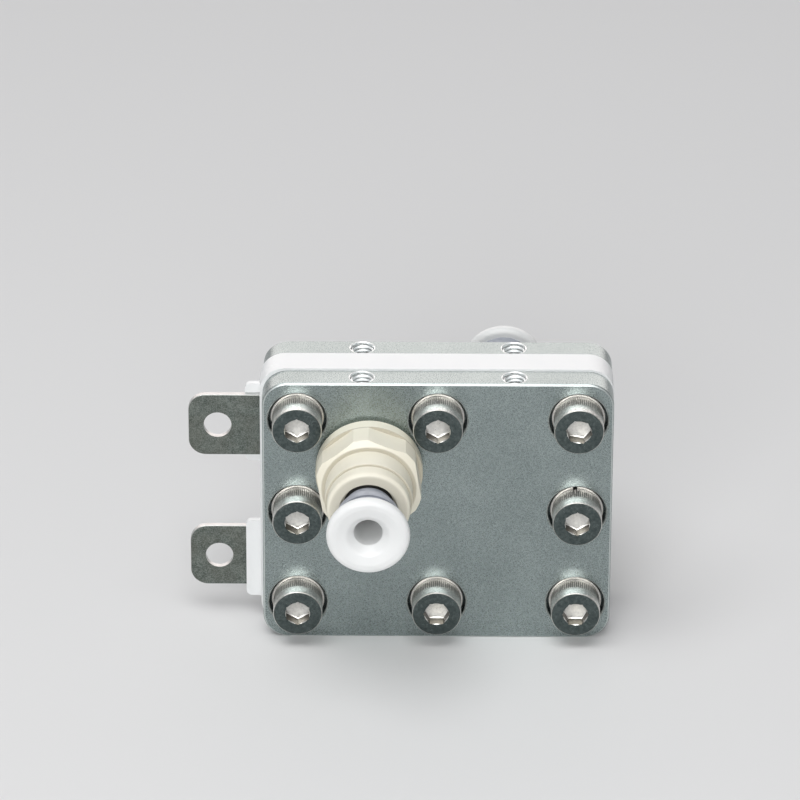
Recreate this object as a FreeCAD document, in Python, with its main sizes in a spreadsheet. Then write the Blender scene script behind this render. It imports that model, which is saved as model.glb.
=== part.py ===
import FreeCAD, Part
import math
import os
import re
import Sketcher
from FreeCAD import Placement, Rotation, Vector

# A single cell that splits water between two clamped end plates.
# X runs along the plates' width, Y from front to back, Z up; lengths are in millimetres.
# The origin is at the middle of the underside of the clamped stack.

# Driving sizes: every name holds an underscore
SIZES = {
    "plate_width": 60.0,
    "plate_height": 50.0,
    "plate_thickness": 5.0,
    "plate_corner": 4.4,
    "plate_edge": 0.3,
    # Insulating frames, which stand a little proud of the plates
    "insulator_thickness": 2.3,
    "core_thickness": 1.0,
    "proud_left": 0.5,
    "proud_right": 0.1,
    "proud_top": 0.25,
    # Lugs of the membrane frame behind the two tabs
    "lug_reach": 3.1,
    "lug_height": 15.0,
    "lug_corner": 1.0,
    "lug_root": 0.4,
    # Clamping screws, in three columns and three rows with no middle one
    "screw_column": 24.0,
    "screw_row": 18.0,
    "screw_diameter": 5.0,
    "screw_length": 14.0,
    "screw_point": 0.5,
    "head_diameter": 8.5,
    "head_height": 5.0,
    "head_edge": 0.25,
    "key_width": 4.0,
    "key_depth": 2.5,
    "key_lead": 0.14,
    "through_clearance": 0.25,
    "tapped_clearance": 0.02,
    "washer_outside": 9.1,
    "washer_inside": 5.3,
    "washer_thickness": 1.2,
    "washer_gap": 0.6,
    "washer_slant": 35.0,
    "sink_diameter": 10.0,
    "sink_depth": 2.2,
    "sink_edge": 0.25,
    # Tapped holes in the top edge of both plates
    "top_hole_span": 26.0,
    "top_hole_diameter": 4.0,
    "top_hole_depth": 8.0,
    "top_hole_edge": 0.15,
    # Electrode plates and their terminal tabs
    "electrode_thickness": 1.0,
    "electrode_width": 38.0,
    "electrode_height": 26.0,
    "electrode_corner": 1.0,
    "pocket_clearance": 0.15,
    "tab_offset": 13.5,
    "tab_width": 11.7,
    "tab_reach": 12.8,
    "tab_root": 12.0,
    "tab_corner": 3.0,
    "tab_edge": 0.12,
    "tab_hole": 4.8,
    "tab_hole_inset": 5.0,
    "boss_diameter": 7.2,
    "boss_clearance": 0.3,
    "flow_hole": 4.0,
    "channel_width": 1.0,
    "channel_depth": 0.5,
    "channel_pitch": 2.0,
    "channel_count": 10,
    # Layers inside the membrane frame
    "window_width": 34.0,
    "window_height": 22.0,
    "window_corner": 1.5,
    "seal_margin": 2.0,
    "membrane_thickness": 0.2,
    "gasket_thickness": 0.4,
    "layer_clearance": 0.1,
    # Push-in tube fittings
    "port_offset": 11.7,
    "port_rise": 9.2,
    "port_thread": 9.7,
    "thread_reach": 3.9,
    "seal_section": 1.1,
    "collar_diameter": 18.3,
    "collar_length": 3.1,
    "collar_edge": 0.8,
    "wrench_width": 17.0,
    "wrench_end": 8.3,
    "wrench_edge": 0.5,
    "wrench_turn": 8.7,
    "barrel_diameter": 14.9,
    "barrel_end": 12.9,
    "barrel_edge": 0.15,
    "cap_diameter": 14.2,
    "cap_end": 15.7,
    "cap_edge": 0.8,
    "cap_neck": 11.8,
    "cap_neck_length": 2.4,
    "cap_press": 0.01,
    "mouth_diameter": 10.0,
    "mouth_depth": 1.5,
    "guide_clearance": 0.05,
    "tube_diameter": 4.8,
    "tube_clearance": 0.05,
    "tube_stop": 4.0,
    "ring_seat": 7.0,
    "ring_section": 1.6,
    "ring_clearance": 0.1,
    "chamber_start": 9.0,
    "sleeve_diameter": 8.6,
    "sleeve_start": 11.2,
    "sleeve_bore": 6.8,
    "barb_diameter": 9.5,
    "barb_length": 1.2,
    "slot_width": 0.8,
    "slot_length": 3.2,
    "neck_diameter": 10.9,
    "neck_start": 18.0,
    "neck_groove": 19.9,
    "neck_groove_width": 0.6,
    "neck_groove_depth": 0.3,
    "button_diameter": 14.1,
    "button_start": 22.8,
    "button_end": 25.0,
    "button_edge": 1.0,
    "dish_diameter": 10.9,
    "dish_depth": 0.5,
    "dish_edge": 1.2,
    "funnel_diameter": 7.3,
    "funnel_depth": 1.9,
    "liner_start": 13.0,
    "liner_clearance": 0.02,
    # How far the rear fitting's button rests pushed in
    "rear_push": 2.0,
}

# Each screw's column, row and the turn of its key socket in degrees
SCREWS = (
    (-1, 1, 0),
    (0, 1, 0),
    (1, 1, 20),
    (-1, 0, 0),
    (1, 0, 0),
    (-1, -1, 0),
    (0, -1, 30),
    (1, -1, 30),
)

doc = FreeCAD.newDocument("electrolyzer_cell")
sheet = doc.addObject("Spreadsheet::Sheet", "Sizes")
for row, (alias, value) in enumerate(SIZES.items(), start=1):
    sheet.set(f"A{row}", alias)
    sheet.set(f"B{row}", str(value))
    sheet.setAlias(f"B{row}", alias)
doc.recompute()

nodes = []


def tied(text):
    """An expression in which every size name points at the sheet."""
    return re.sub(r"\b([a-z]+_[a-z_]+)\b", r"Sizes.\1", text)


def bind(target, prop, text):
    """Tie one property to an expression of the driving sizes."""
    target.setExpression(prop, tied(text))


def new_body(name, place=("0", "0", "0"), rotation=Rotation()):
    """A body whose label names its sub-part, set down at place."""
    body = doc.addObject("PartDesign::Body", name)
    body.Label = name
    body.Placement = Placement(Vector(), rotation)
    for axis, text in zip("xyz", place):
        bind(body, f"Placement.Base.{axis}", text)
    nodes.append(body)
    return body


def new_sketch(body, plane, lift="0"):
    """An empty sketch on one of the body's own origin planes, moved along its normal."""
    sketch = body.newObject("Sketcher::SketchObject", "Sketch")
    support = next(item for item in body.Origin.OriginFeatures if item.Role == plane)
    sketch.AttachmentSupport = [(support, "")]
    sketch.MapMode = "FlatFace"
    bind(sketch, "AttachmentOffset.Base.z", lift)
    return sketch


def pin_point(sketch, geometry, end, across, along):
    """Hold one point of the sketch at two expressions."""
    for kind, text in (("DistanceX", across), ("DistanceY", along)):
        number = sketch.addConstraint(Sketcher.Constraint(kind, -1, 1, geometry, end, 1.0))
        bind(sketch, f"Constraints[{number}]", text)


def add_outline(sketch, points):
    """A closed outline of straight lines through points given as expressions."""
    count = len(points)
    start = sketch.GeometryCount
    ring = [Vector(10, 0, 0)]
    for step in range(1, count):
        angle = 2 * math.pi * step / count
        ring.append(Vector(10 * math.cos(angle), 10 * math.sin(angle), 0))
    for step in range(count):
        line = Part.LineSegment(ring[step], ring[(step + 1) % count])
        sketch.addGeometry(line, False)
    for step in range(count):
        following = start + (step + 1) % count
        sketch.addConstraint(Sketcher.Constraint("Coincident", start + step, 2, following, 1))
    for step, (across, along) in enumerate(points):
        pin_point(sketch, start + step, 1, across, along)


def add_circle(sketch, across, along, radius):
    """A circle whose centre and radius are expressions."""
    geometry = sketch.addGeometry(Part.Circle(Vector(), Vector(0, 0, 1), 1), False)
    pin_point(sketch, geometry, 3, across, along)
    number = sketch.addConstraint(Sketcher.Constraint("Radius", geometry, 1.0))
    bind(sketch, f"Constraints[{number}]", radius)


def box_points(left, bottom, right, top):
    """The corners of a rectangle."""
    return [(left, bottom), (right, bottom), (right, top), (left, top)]


def settle(feature):
    """Work the feature out and stop if it failed."""
    doc.recompute()
    if "Invalid" in feature.State or "Error" in feature.State:
        raise RuntimeError(f"{feature.Name} failed: {feature.getStatusString()}")
    return feature


def pad(body, sketch, length, backward=False):
    """Raise the sketch along its normal, or against it."""
    feature = body.newObject("PartDesign::Pad", "Pad")
    feature.Profile = sketch
    feature.Reversed = backward
    bind(feature, "Length", length)
    return settle(feature)


def pocket(body, sketch, depth="", backward=False):
    """Cut the sketch into the body to a depth, or right through both ways."""
    before = body.Shape.Volume
    feature = body.newObject("PartDesign::Pocket", "Pocket")
    feature.Profile = sketch
    feature.Reversed = backward
    if depth:
        bind(feature, "Length", depth)
    else:
        feature.Type = "ThroughAll"
        feature.Midplane = True
    settle(feature)
    if not body.Shape.Volume < before:
        raise RuntimeError(f"{body.Label}: a pocket cuts nothing")
    return feature


def revolve(body, points):
    """Turn a closed profile of (radius, height) points about the body's Z axis."""
    sketch = new_sketch(body, "XZ_Plane")
    add_outline(sketch, points)
    feature = body.newObject("PartDesign::Revolution", "Turned")
    feature.Profile = sketch
    feature.ReferenceAxis = (sketch, ["V_Axis"])
    feature.Angle = 360
    return settle(feature)


def groove(body, points):
    """Cut a closed profile of (radius, height) points, turned about the body's Z axis."""
    sketch = new_sketch(body, "XZ_Plane")
    add_outline(sketch, points)
    feature = body.newObject("PartDesign::Groove", "Cut")
    feature.Profile = sketch
    feature.ReferenceAxis = (sketch, ["V_Axis"])
    feature.Angle = 360
    return settle(feature)


def edges_of(feature, wanted):
    """Names of the feature's edges that pass the test."""
    edges = enumerate(feature.Shape.Edges, start=1)
    return [f"Edge{number}" for number, edge in edges if wanted(edge)]


def dress(body, kind, base, names, size):
    """Round or bevel the named edges of the base feature."""
    feature = body.newObject(f"PartDesign::{kind}", kind)
    feature.Base = (base, names)
    bind(feature, "Radius" if kind == "Fillet" else "Size", size)
    return settle(feature)


def polar(body, feature, count):
    """Repeat a feature evenly about the body's Z axis."""
    pattern = body.newObject("PartDesign::PolarPattern", "Ring")
    pattern.Originals = [feature]
    axis = next(item for item in body.Origin.OriginFeatures if item.Role == "Z_Axis")
    pattern.Axis = (axis, [""])
    pattern.Angle = 360
    pattern.Occurrences = count
    body.Tip = pattern
    return settle(pattern)


def runs_along_y(edge):
    """Whether an edge is straight and points from front to back."""
    box = edge.BoundBox
    return box.XLength < 0.001 and box.ZLength < 0.001


def is_ring(edge, radius):
    """Whether an edge is part of a circle of this radius."""
    return isinstance(edge.Curve, Part.Circle) and abs(edge.Curve.Radius - radius) < 0.001


# Heights of the stack's middle and the Y places of its layers
MIDDLE = "plate_height / 2"
HALF_CORE = "core_thickness / 2"
HALF_STACK = "(core_thickness / 2 + insulator_thickness)"
HALF_CELL = "(core_thickness / 2 + insulator_thickness + plate_thickness)"
HALF_WIDTH = "plate_width / 2"


def screw_place(column, row):
    """Where one clamping screw stands, across and up."""
    return f"{column} * screw_column", f"{MIDDLE} + {row} * screw_row"


def drill_screws(body, radius):
    """A row of holes for the clamping screws, right through."""
    sketch = new_sketch(body, "XZ_Plane")
    for column, row, _ in SCREWS:
        across, up = screw_place(column, row)
        add_circle(sketch, across, up, radius)
    return pocket(body, sketch)


def rounded_sheet(body, points, thickness, radius, wanted=runs_along_y):
    """A flat sheet in XZ, from its back face forward, with rounded corners."""
    sketch = new_sketch(body, "XZ_Plane")
    add_outline(sketch, points)
    blank = pad(body, sketch, thickness)
    return dress(body, "Fillet", blank, edges_of(blank, wanted), radius)


def end_plate(name, facing):
    """An aluminium end plate; the body's Y = 0 is the face that meets the stack."""
    turn = Rotation(Vector(0, 0, 1), 0 if facing > 0 else 180)
    body = new_body(name, ("0", f"{-facing} * {HALF_STACK}", "0"), turn)
    corners = box_points(f"-{HALF_WIDTH}", "0", HALF_WIDTH, "plate_height")
    blank = rounded_sheet(body, corners, "plate_thickness", "plate_corner")
    rims = edges_of(blank, lambda edge: not runs_along_y(edge))
    dress(body, "Chamfer", blank, rims, "plate_edge")

    # The port takes the fitting's thread
    port = new_sketch(body, "XZ_Plane")
    add_circle(port, "-port_offset", f"{MIDDLE} + port_rise", "port_thread / 2 + tapped_clearance")
    pocket(body, port)

    # Blind tapped holes stand in the top edge, with a small countersink
    top = new_sketch(body, "XY_Plane", "plate_height")
    for side in (-1, 1):
        across = f"{side} * top_hole_span / 2"
        add_circle(top, across, "-plate_thickness / 2", "top_hole_diameter / 2")
    holes = pocket(body, top, "top_hole_depth")
    radius = sheet.top_hole_diameter / 2
    height = sheet.plate_height
    mouths = edges_of(holes, lambda edge: is_ring(edge, radius) and edge.BoundBox.ZMin > height - 0.001)
    dress(body, "Chamfer", holes, mouths, "top_hole_edge")
    return body


def front_end_plate():
    """The plate that the screw heads sink into."""
    body = end_plate("front_end_plate", 1)
    drill_screws(body, "screw_diameter / 2 + through_clearance")
    sinks = new_sketch(body, "XZ_Plane", "plate_thickness")
    for column, row, _ in SCREWS:
        across, up = screw_place(column, row)
        add_circle(sinks, across, up, "sink_diameter / 2")
    cut = pocket(body, sinks, "sink_depth")
    front = -sheet.plate_thickness
    radius = sheet.sink_diameter / 2
    rims = edges_of(cut, lambda edge: is_ring(edge, radius) and edge.BoundBox.YMin < front + 0.001)
    dress(body, "Chamfer", cut, rims, "sink_edge")


def rear_end_plate():
    """The same plate turned round, tapped for the screws."""
    body = end_plate("rear_end_plate", -1)
    drill_screws(body, "screw_diameter / 2 + tapped_clearance")


def sheet_corners():
    """The outline that the plastic layers share."""
    left = f"-({HALF_WIDTH} + proud_left)"
    right = f"{HALF_WIDTH} + proud_right"
    return left, "0", right, "plate_height + proud_top"


def tab_outline(hand, spare, reach):
    """An electrode plate with its tab, grown by spare; hand 1 puts the tab high."""
    side = f"-electrode_width / 2 - {spare}"
    far_side = f"electrode_width / 2 + {spare}"
    base = f"{MIDDLE} - {hand} * (electrode_height / 2 + {spare})"
    head = f"{MIDDLE} + {hand} * (electrode_height / 2 + {spare})"
    tab_near = f"{MIDDLE} + {hand} * (tab_offset - tab_width / 2 - {spare})"
    tab_far = f"{MIDDLE} + {hand} * (tab_offset + tab_width / 2 + {spare})"
    root = f"-tab_root + {spare}"
    return [
        (side, base),
        (far_side, base),
        (far_side, head),
        (root, head),
        (root, tab_far),
        (reach, tab_far),
        (reach, tab_near),
        (side, tab_near),
    ]


def insulator_frame(name, hand):
    """A plastic frame that holds one electrode plate; hand 1 is the front one."""
    back = f"-{HALF_CORE}" if hand > 0 else HALF_STACK
    body = new_body(name, ("0", back, "0"))
    rounded_sheet(body, box_points(*sheet_corners()), "insulator_thickness", "plate_corner")

    # The recess opens towards the membrane and lets the tab out on the left
    lift = "0" if hand > 0 else "insulator_thickness"
    recess = new_sketch(body, "XZ_Plane", lift)
    outside = f"-({HALF_WIDTH} + proud_left + 1)"
    add_outline(recess, tab_outline(hand, "pocket_clearance", outside))
    pocket(body, recess, "electrode_thickness", backward=hand > 0)

    # A boss keeps the tab away from the screw that passes beside it
    boss = new_sketch(body, "XZ_Plane", lift)
    across, up = screw_place(-1, hand)
    add_circle(boss, across, up, "boss_diameter / 2")
    pad(body, boss, "electrode_thickness", backward=hand < 0)
    drill_screws(body, "screw_diameter / 2 + through_clearance / 2")

    port = new_sketch(body, "XZ_Plane")
    add_circle(port, f"{-hand} * port_offset", f"{MIDDLE} + port_rise", "flow_hole / 2")
    pocket(body, port)


def electrode_plate(name, hand):
    """A titanium plate with flow channels and a terminal tab."""
    back = f"-{HALF_CORE}" if hand > 0 else f"{HALF_CORE} + electrode_thickness"
    body = new_body(name, ("0", back, "0"))
    sketch = new_sketch(body, "XZ_Plane")
    end = f"-({HALF_WIDTH} + tab_reach)"
    add_outline(sketch, tab_outline(hand, "0", end))
    blank = pad(body, sketch, "electrode_thickness")
    tip = -(sheet.plate_width / 2 + sheet.tab_reach)
    tips = edges_of(blank, lambda edge: runs_along_y(edge) and edge.BoundBox.XMin < tip + 0.001)
    rounded = dress(body, "Fillet", blank, tips, "tab_corner")
    side = sheet.electrode_width / 2
    corners = edges_of(rounded, lambda edge: runs_along_y(edge) and edge.BoundBox.XMax > side - 0.001)
    rounded = dress(body, "Fillet", rounded, corners, "electrode_corner")

    # The sheared outline is slightly rounded on both faces
    rims = edges_of(rounded, lambda edge: not runs_along_y(edge))
    dress(body, "Fillet", rounded, rims, "tab_edge")

    # Holes for the terminal screw, the boss and the water
    holes = new_sketch(body, "XZ_Plane")
    tab_height = f"{MIDDLE} + {hand} * tab_offset"
    add_circle(holes, f"-({HALF_WIDTH} + tab_reach - tab_hole_inset)", tab_height, "tab_hole / 2")
    across, up = screw_place(-1, hand)
    add_circle(holes, across, up, "boss_diameter / 2 + boss_clearance")
    add_circle(holes, f"{-hand} * port_offset", f"{MIDDLE} + port_rise", "flow_hole / 2")
    pocket(body, holes)

    # Parallel channels on the membrane side, joined by a header at each end
    lift = "0" if hand > 0 else "electrode_thickness"
    span = "(window_width / 2 - channel_width)"
    rise = "(channel_pitch * (channel_count - 1) / 2)"
    low = f"{MIDDLE} - {rise} - channel_width / 2"
    header = new_sketch(body, "XZ_Plane", lift)
    for end in (-1, 1):
        inner = f"{end} * ({span} - channel_width / 2)"
        outer = f"{end} * ({span} + channel_width / 2)"
        add_outline(header, box_points(inner, low, outer, f"{MIDDLE} + {rise} + channel_width / 2"))
    pocket(body, header, "channel_depth", backward=hand > 0)
    channel = new_sketch(body, "XZ_Plane", lift)
    add_outline(channel, box_points(f"-{span}", low, span, f"{low} + channel_width"))
    first = pocket(body, channel, "channel_depth", backward=hand > 0)
    row = body.newObject("PartDesign::LinearPattern", "Channels")
    row.Originals = [first]
    row.Direction = (channel, ["V_Axis"])
    bind(row, "Length", "channel_pitch * (channel_count - 1)")
    bind(row, "Occurrences", "channel_count")
    body.Tip = row
    doc.recompute()


def window_points(spare):
    """The active area, grown by spare on every side."""
    half = f"(window_width / 2 + {spare})"
    rise = f"(window_height / 2 + {spare})"
    return box_points(f"-{half}", f"{MIDDLE} - {rise}", half, f"{MIDDLE} + {rise}")


def seat_points(spare):
    """The membrane's outline, a sealing margin beyond the window and grown by spare."""
    return window_points(f"seal_margin + {spare}")


def membrane_frame():
    """The middle plastic layer with a lug behind and in front of the two tabs."""
    body = new_body("membrane_frame", ("0", HALF_CORE, "0"))
    left, low, right, top = sheet_corners()
    lug = f"-({HALF_WIDTH} + lug_reach)"
    outline = [(left, low), (right, low), (right, top), (left, top)]
    for hand in (1, -1):
        for edge in (1, -1):
            up = f"{MIDDLE} + {hand} * tab_offset + {edge} * lug_height / 2"
            outline += [(left, up), (lug, up)][::edge]
    sketch = new_sketch(body, "XZ_Plane")
    add_outline(sketch, outline)
    blank = pad(body, sketch, "core_thickness")
    box = blank.Shape.BoundBox
    edge_x = -(sheet.plate_width / 2 + sheet.proud_left)

    def at_corner(edge):
        end = edge.BoundBox
        level = end.ZMin < 0.001 or end.ZMax > box.ZMax - 0.001
        return runs_along_y(edge) and level

    def at_lug(edge):
        return runs_along_y(edge) and edge.BoundBox.XMin < box.XMin + 0.001

    def at_root(edge):
        end = edge.BoundBox
        inside = 1 < end.ZMin and end.ZMax < box.ZMax - 1
        return runs_along_y(edge) and inside and abs(end.XMin - edge_x) < 0.001

    blank = dress(body, "Fillet", blank, edges_of(blank, at_lug), "lug_corner")
    blank = dress(body, "Fillet", blank, edges_of(blank, at_root), "lug_root")
    dress(body, "Fillet", blank, edges_of(blank, at_corner), "plate_corner")

    # The window holds the porous layers and the rebate the membrane and its gasket
    window = new_sketch(body, "XZ_Plane")
    add_outline(window, window_points("0"))
    pocket(body, window)
    rebate = new_sketch(body, "XZ_Plane", "core_thickness")
    add_outline(rebate, seat_points("layer_clearance"))
    pocket(body, rebate, "gasket_thickness + membrane_thickness")
    drill_screws(body, "screw_diameter / 2 + through_clearance / 2")


# Y places of the thin layers, by their back faces
MEMBRANE_BACK = f"-{HALF_CORE} + gasket_thickness + membrane_thickness"
GASKET_BACK = f"-{HALF_CORE} + gasket_thickness"


def thin_layer(name, back, points, thickness, hole=None):
    """A flat rectangle of foil, felt or rubber, with an opening where hole is given."""
    body = new_body(name, ("0", back, "0"))
    rounded_sheet(body, points, thickness, "window_corner / 2")
    if hole:
        opening = new_sketch(body, "XZ_Plane")
        add_outline(opening, hole)
        pocket(body, opening)


def inner_layers():
    """The membrane, its gasket and the porous layers that touch the channels."""
    inset = "-layer_clearance"
    rear_depth = "core_thickness - gasket_thickness - membrane_thickness"
    thin_layer("membrane", MEMBRANE_BACK, seat_points("0"), "membrane_thickness")
    thin_layer("membrane_gasket", GASKET_BACK, seat_points("0"), "gasket_thickness", window_points("0"))
    thin_layer("front_porous_layer", GASKET_BACK, window_points(inset), "gasket_thickness")
    thin_layer("rear_porous_layer", HALF_CORE, window_points(inset), rear_depth)


def cap_screw_blank():
    """One socket head cap screw: the head's underside at Z = 0 and its top at +Z."""
    body = new_body("cap_screw")
    shank = "screw_diameter / 2"
    head = "head_diameter / 2"
    revolve(body, [
        ("0", "-screw_length"),
        (f"{shank} - screw_point", "-screw_length"),
        (shank, "-screw_length + screw_point"),
        (shank, "0"),
        (head, "0"),
        (head, "head_height - head_edge"),
        (f"{head} - head_edge", "head_height"),
        ("0", "head_height"),
    ])
    socket = new_sketch(body, "XY_Plane", "head_height")
    flat = "key_width / 2"
    point = "key_width / sqrt(3)"
    add_outline(socket, [
        ("0", f"-{point}"),
        (flat, f"-{point} / 2"),
        (flat, f"{point} / 2"),
        ("0", point),
        (f"-{flat}", f"{point} / 2"),
        (f"-{flat}", f"-{point} / 2"),
    ])
    pocket(body, socket, "key_depth")

    # The socket's mouth is bevelled and its floor ends in a drill point
    mouth = "key_width / 2 + key_lead"
    floor = "head_height - key_depth"
    groove(body, [("0", "head_height"), (mouth, "head_height"), ("0", f"head_height - {mouth}")])
    groove(body, [("0", floor), ("key_width / 2", floor), ("0", f"{floor} - key_width / 4")])
    return body


def spring_washer_blank():
    """One flattened split washer, its back face at Z = 0."""
    body = new_body("spring_washer")
    inner = "washer_inside / 2"
    outer = "washer_outside / 2"
    revolve(body, box_points(inner, "0", outer, "washer_thickness"))
    split = new_sketch(body, "YZ_Plane")
    lean = "washer_thickness * tan(washer_slant) / 2"
    half = "washer_gap / 2"
    add_outline(split, [
        (f"-{half} - {lean}", "0"),
        (f"{half} - {lean}", "0"),
        (f"{half} + {lean}", "washer_thickness"),
        (f"-{half} + {lean}", "washer_thickness"),
    ])
    pocket(body, split, "washer_outside", backward=True)
    return body


def screw_set(name, blank, lift, turns):
    """Copies of a blank at every screw's place, as one group of separate solids."""
    nodes.remove(blank)
    copies = []
    for (column, row, turn), extra in zip(SCREWS, turns):
        copy = doc.addObject("App::Link", f"{name}_copy")
        copy.LinkedObject = blank
        upright = Rotation(Vector(1, 0, 0), 90)
        copy.Placement = Placement(Vector(), upright * Rotation(Vector(0, 0, 1), turn + extra))
        across, up = screw_place(column, row)
        bind(copy, "Placement.Base.x", across)
        bind(copy, "Placement.Base.y", f"-{HALF_CELL} + sink_depth - {lift}")
        bind(copy, "Placement.Base.z", up)
        copies.append(copy)
    group = doc.addObject("Part::Compound", name)
    group.Label = name
    group.Links = copies
    nodes.append(group)


def fitting_place(side, push):
    """Where a fitting's piece stands, pushed in by push; its own Z points away from the plate."""
    place = (f"{-side} * port_offset", f"{-side} * ({HALF_CELL} - {push})", f"{MIDDLE} + port_rise")
    rotation = Rotation(Vector(0, 0, 1), 0 if side > 0 else 180) * Rotation(Vector(1, 0, 0), 90)
    return place, rotation


def fitting_piece(name, side, turn=0, push="0"):
    """A body on the axis of one fitting."""
    place, rotation = fitting_place(side, push)
    return new_body(name, place, rotation * Rotation(Vector(0, 0, 1), turn))


TUBE_BORE = "(tube_diameter / 2 + tube_clearance)"
NECK_SEAT = "(cap_neck / 2 + cap_press)"


def fitting_body(name, side):
    """The moulded body: thread, collar, hexagon, barrel and stepped bore."""
    body = fitting_piece(name, side, sheet.wrench_turn)
    thread = "port_thread / 2"
    collar = "collar_diameter / 2"
    barrel = "barrel_diameter / 2"
    ring = f"({TUBE_BORE} + ring_section + ring_clearance)"
    flat = "wrench_width / 2"
    slope = f"({collar} - {flat} + wrench_edge) / sqrt(3)"
    revolve(body, [
        ("flow_hole / 2", "-thread_reach"),
        (f"{thread} - screw_point", "-thread_reach"),
        (thread, "-thread_reach + screw_point"),
        (thread, "0"),
        (f"{collar} - collar_edge", "0"),
        (collar, "collar_edge"),
        (collar, f"wrench_end - {slope}"),
        (f"{flat} - wrench_edge", "wrench_end"),
        (barrel, "wrench_end"),
        (barrel, "barrel_end - barrel_edge"),
        (f"{barrel} - barrel_edge", "barrel_end"),
        (NECK_SEAT, "barrel_end"),
        (NECK_SEAT, "barrel_end - cap_neck_length"),
        ("mouth_diameter / 2", "barrel_end - cap_neck_length"),
        ("mouth_diameter / 2", "chamber_start"),
        (ring, "chamber_start"),
        (ring, "ring_seat"),
        (TUBE_BORE, "ring_seat"),
        (TUBE_BORE, "tube_stop"),
        ("flow_hole / 2", "tube_stop"),
    ])

    # Six flats are milled on the round, beyond the collar
    side_cut = new_sketch(body, "XY_Plane", "wrench_end")
    add_outline(side_cut, box_points(flat, f"-{collar}", f"{collar} + 1", collar))
    cut = pocket(body, side_cut, "wrench_end - collar_length")
    polar(body, cut, 6)


def fitting_cap(name, side):
    """The ring pressed into the barrel, which keeps the sleeve's barbs in."""
    body = fitting_piece(name, side)
    cap = "cap_diameter / 2"
    neck = "cap_neck / 2"
    guide = "(sleeve_diameter / 2 + guide_clearance)"
    turned = revolve(body, [
        ("mouth_diameter / 2", "barrel_end - cap_neck_length"),
        (neck, "barrel_end - cap_neck_length"),
        (neck, "barrel_end"),
        (cap, "barrel_end"),
        (cap, "cap_end"),
        ("mouth_diameter / 2", "cap_end"),
        ("mouth_diameter / 2", "cap_end - mouth_depth"),
        (guide, "cap_end - mouth_depth"),
        (guide, "barrel_end"),
        ("mouth_diameter / 2", "barrel_end"),
    ])
    radius = sheet.cap_diameter / 2
    joint = sheet.barrel_end
    rims = edges_of(turned, lambda edge: is_ring(edge, radius) and edge.BoundBox.ZMin > joint + 0.001)
    dress(body, "Fillet", turned, rims, "cap_edge")


def rubber_ring(name, side, inner, section, height):
    """An O-ring round the fitting's axis."""
    body = fitting_piece(name, side)
    sketch = new_sketch(body, "XZ_Plane")
    add_circle(sketch, f"{inner} + {section} / 2", height, f"{section} / 2")
    ring = body.newObject("PartDesign::Revolution", "Ring")
    ring.Profile = sketch
    ring.ReferenceAxis = (sketch, ["V_Axis"])
    ring.Angle = 360
    doc.recompute()


def release_sleeve(name, side, push):
    """The sliding collet sleeve: barbed fingers inside, a thicker grooved neck outside."""
    body = fitting_piece(name, side, push=push)
    bore = "sleeve_bore / 2"
    stem = "sleeve_diameter / 2"
    barb = "barb_diameter / 2"
    neck = "neck_diameter / 2"
    revolve(body, [
        (bore, "sleeve_start"),
        (f"{barb} - barb_length / 4", "sleeve_start"),
        (barb, "sleeve_start + barb_length / 2"),
        (barb, "sleeve_start + barb_length"),
        (stem, "sleeve_start + barb_length"),
        (stem, "neck_start"),
        (f"{neck} - button_edge / 2", "neck_start"),
        (neck, "neck_start + button_edge / 2"),
        (neck, "neck_groove"),
        (f"{neck} - neck_groove_depth", "neck_groove"),
        (f"{neck} - neck_groove_depth", "neck_groove + neck_groove_width"),
        (neck, "neck_groove + neck_groove_width"),
        (neck, "button_start"),
        (bore, "button_start"),
    ])
    slot = new_sketch(body, "XY_Plane", "sleeve_start")
    add_outline(slot, box_points("0", "-slot_width / 2", "barb_diameter", "slot_width / 2"))
    cut = pocket(body, slot, "slot_length", backward=True)
    polar(body, cut, 4)


def release_button(name, side, push):
    """The white button: a dished flange with a funnel, and a liner down the sleeve."""
    body = fitting_piece(name, side, push=push)
    rim = "button_diameter / 2"
    liner = "(sleeve_bore / 2 - liner_clearance)"
    dish = "dish_diameter / 2"
    funnel = "funnel_diameter / 2"
    turned = revolve(body, [
        (TUBE_BORE, "liner_start"),
        (liner, "liner_start"),
        (liner, "button_start"),
        (rim, "button_start"),
        (rim, "button_end"),
        (dish, "button_end"),
        (funnel, "button_end - dish_depth"),
        (TUBE_BORE, "button_end - funnel_depth"),
    ])
    radius = sheet.button_diameter / 2
    rims = edges_of(turned, lambda edge: is_ring(edge, radius))
    rounded = dress(body, "Fillet", turned, rims, "button_edge")
    bends = (sheet.dish_diameter / 2, sheet.funnel_diameter / 2)
    rims = edges_of(rounded, lambda edge: any(is_ring(edge, bend) for bend in bends))
    dress(body, "Fillet", rounded, rims, "dish_edge")


def fitting(prefix, side):
    """Every piece of one push-in fitting."""
    fitting_body(f"{prefix}_fitting_body", side)
    fitting_cap(f"{prefix}_fitting_cap", side)
    seal_middle = "-plate_thickness + seal_section / 2"
    seal_inner = "port_thread / 2 - seal_section - screw_point"
    rubber_ring(f"{prefix}_port_seal", side, seal_inner, "seal_section", seal_middle)
    ring_middle = "(ring_seat + chamber_start) / 2"
    rubber_ring(f"{prefix}_tube_seal", side, TUBE_BORE, "ring_section", ring_middle)
    push = "rear_push" if side < 0 else "0"
    release_sleeve(f"{prefix}_release_sleeve", side, push)
    release_button(f"{prefix}_release_button", side, push)


def check_model():
    """Stop if any object failed or any sub-part has no sound shape."""
    for item in doc.Objects:
        if "Invalid" in item.State or "Error" in item.State:
            raise RuntimeError(f"{item.Name} failed: {item.State}")
    for node in nodes:
        if node.Shape.isNull() or not node.Shape.isValid():
            raise RuntimeError(f"{node.Label} has no valid shape")


def write_parts():
    """One file for each sub-part."""
    os.makedirs("parts", exist_ok=True)
    for node in nodes:
        node.Shape.exportStep(f"parts/{node.Label}.step")
        print(node.Label, len(node.Shape.Solids), round(node.Shape.Volume, 1))


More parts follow.
